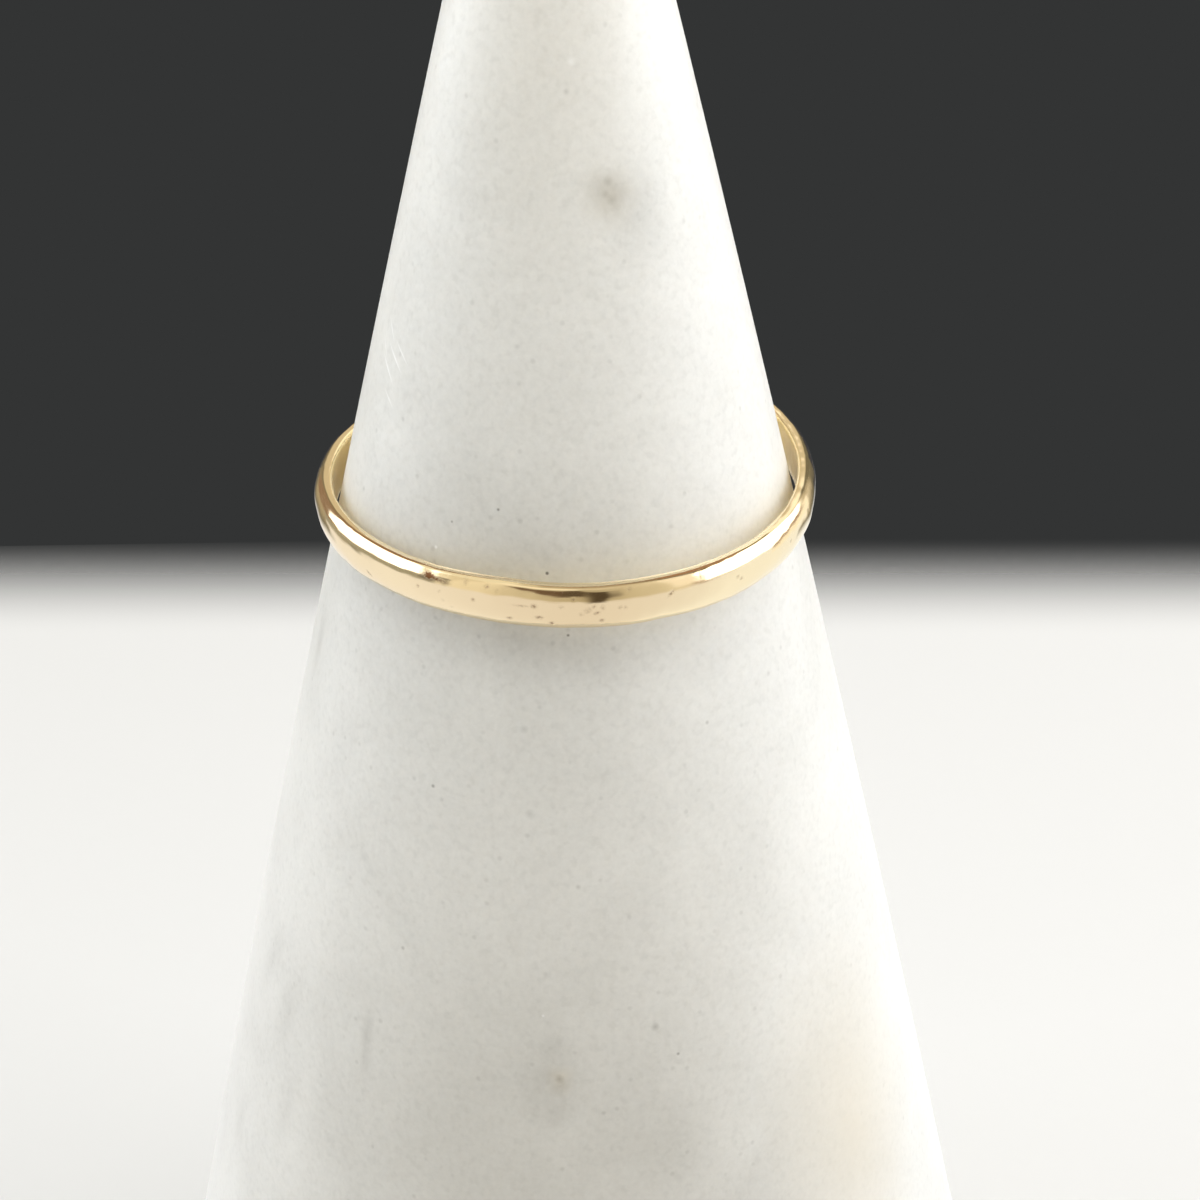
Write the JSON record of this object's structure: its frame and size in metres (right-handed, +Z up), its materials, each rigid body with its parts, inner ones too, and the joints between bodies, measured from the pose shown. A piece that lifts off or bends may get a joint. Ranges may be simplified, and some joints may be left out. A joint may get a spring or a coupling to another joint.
{
  "type": "stackable ring on a marble ring cone",
  "caption": "Thin half-round gold stacking ring, slightly worn out of round, resting on a polished marble ring cone.",
  "frame": {"origin": "centre of the cone's flat base", "axes": "+Z up along the cone's axis; the front of the ring faces -Y and its slightly higher side faces +X"},
  "size_m": [0.038, 0.038, 0.075],
  "materials": {
    "polished_gold": "polished yellow gold with fine wear scratches and small pits",
    "honed_marble": "satin-honed white marble with soft grey clouds and small flecks"
  },
  "bodies": {
    "root": {"ring_band": "polished_gold", "marble_cone": "honed_marble"}
  },
  "joints": []
}
